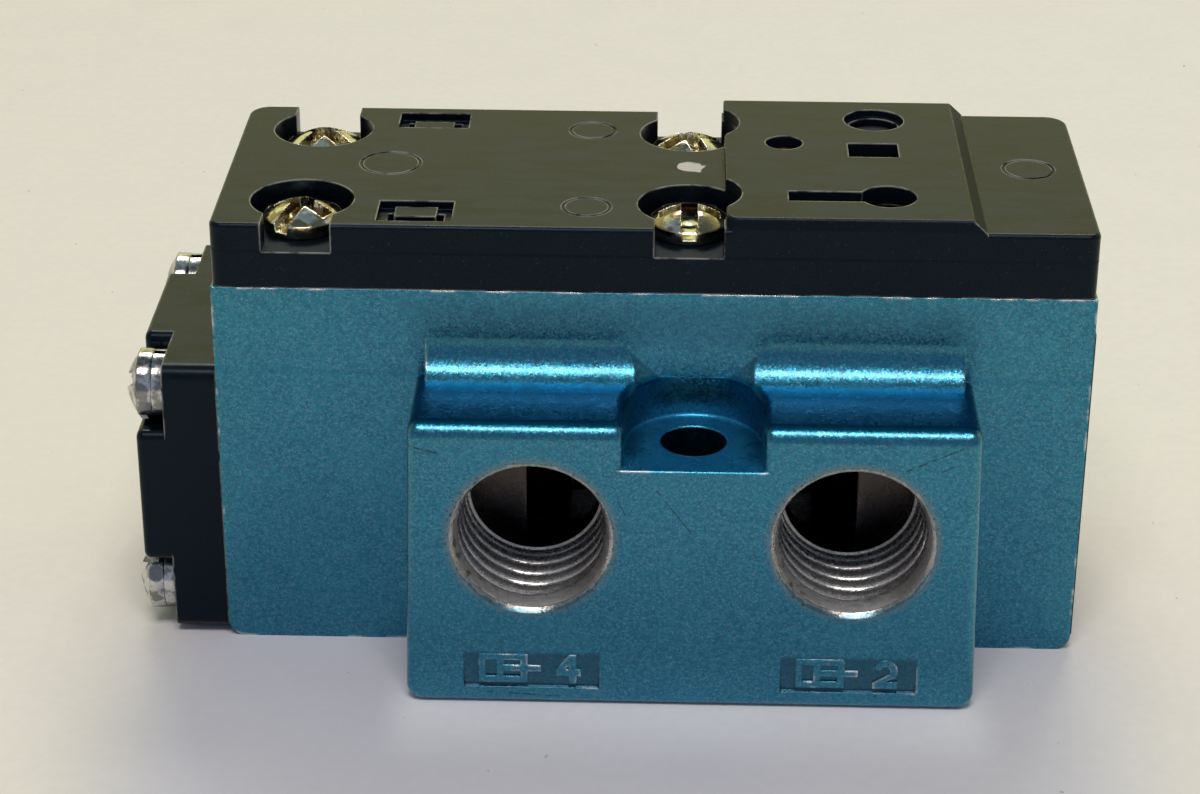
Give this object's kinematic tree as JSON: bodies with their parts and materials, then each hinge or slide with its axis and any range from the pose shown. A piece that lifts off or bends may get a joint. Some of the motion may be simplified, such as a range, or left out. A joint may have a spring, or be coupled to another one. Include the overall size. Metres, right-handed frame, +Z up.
{
  "type": "solenoid directional valve",
  "caption": "Pilot-operated solenoid spool valve: cast body with two threaded cylinder ports, black pilot cover, bolted end cap and base-mount ports.",
  "frame": {"origin": "centre of the cast body's flat bottom face", "axes": "+X along the spool axis from the spring cap towards the pilot end, -Y towards the threaded cylinder ports, +Z up"},
  "size_m": [0.0858, 0.05, 0.0422],
  "materials": {
    "body_paint": "metallic teal paint over die-cast metal, fine orange peel",
    "black_plastic": "satin black moulded plastic",
    "housing_plastic": "dark grey glass-filled plastic",
    "bobbin_plastic": "natural nylon",
    "header_plastic": "black plastic",
    "yellow_zinc": "yellow chromated zinc plate",
    "bright_zinc": "bright zinc plate",
    "steel": "ground steel",
    "spring_steel": "spring wire",
    "magnet_steel": "ferritic stainless steel",
    "aluminium": "turned aluminium",
    "brass": "turned brass",
    "copper": null,
    "rubber": "nitrile rubber",
    "board": "green solder mask",
    "lens": "dark red translucent lens",
    "component": "moulded component body"
  },
  "bodies": {
    "valve": {"valve_body": "body_paint", "left_end_cap": "black_plastic", "right_end_plate": "black_plastic", "pilot_cover": "black_plastic", "left_cap_screws": "bright_zinc", "left_cap_lock_washers": "bright_zinc", "end_plate_screws": "bright_zinc", "cover_screws": "yellow_zinc", "left_cap_o_ring": "rubber", "end_plate_gasket": "rubber", "cover_gasket": "rubber", "base_seals": "rubber", "sleeve_o_rings": "rubber", "pilot_gasket": "rubber", "spool_sleeve": "aluminium", "sleeve_retaining_ring": "spring_steel", "return_spring": "spring_steel", "coil_cradle": "black_plastic", "coil_bobbin": "bobbin_plastic", "coil_winding": "copper", "coil_frame": "bright_zinc", "core_tube": "brass", "fixed_core": "magnet_steel", "armature_spring": "spring_steel", "pilot_nozzle": "brass", "pilot_housing": "housing_plastic", "override_spring": "spring_steel", "circuit_board": "board", "indicator_lens": "lens", "pin_header": "header_plastic", "contact_pins": "brass", "suppression_diode": "component", "coil_leads": "copper"},
    "spool_train": {"spool": "steel", "spring_seat": "aluminium", "pilot_piston": "aluminium", "piston_seal": "rubber"},
    "armature_train": {"armature": "magnet_steel", "armature_seal": "rubber"},
    "override": {"override_button": "header_plastic", "override_o_ring": "rubber"}
  },
  "joints": [
    {"name": "spool_slide", "type": "slide", "parent": "valve", "child": "spool_train", "axis": [-1, 0, 0], "range_m": [0, 0.0044], "deforming": ["return_spring"]},
    {"name": "armature_slide", "type": "slide", "parent": "valve", "child": "armature_train", "axis": [-1, 0, 0], "range_m": [0, 0.0007], "deforming": ["armature_spring"]},
    {"name": "override_press", "type": "slide", "parent": "valve", "child": "override", "axis": [0, 0, -1], "range_m": [0, 0.0015], "deforming": ["override_spring"]}
  ]
}
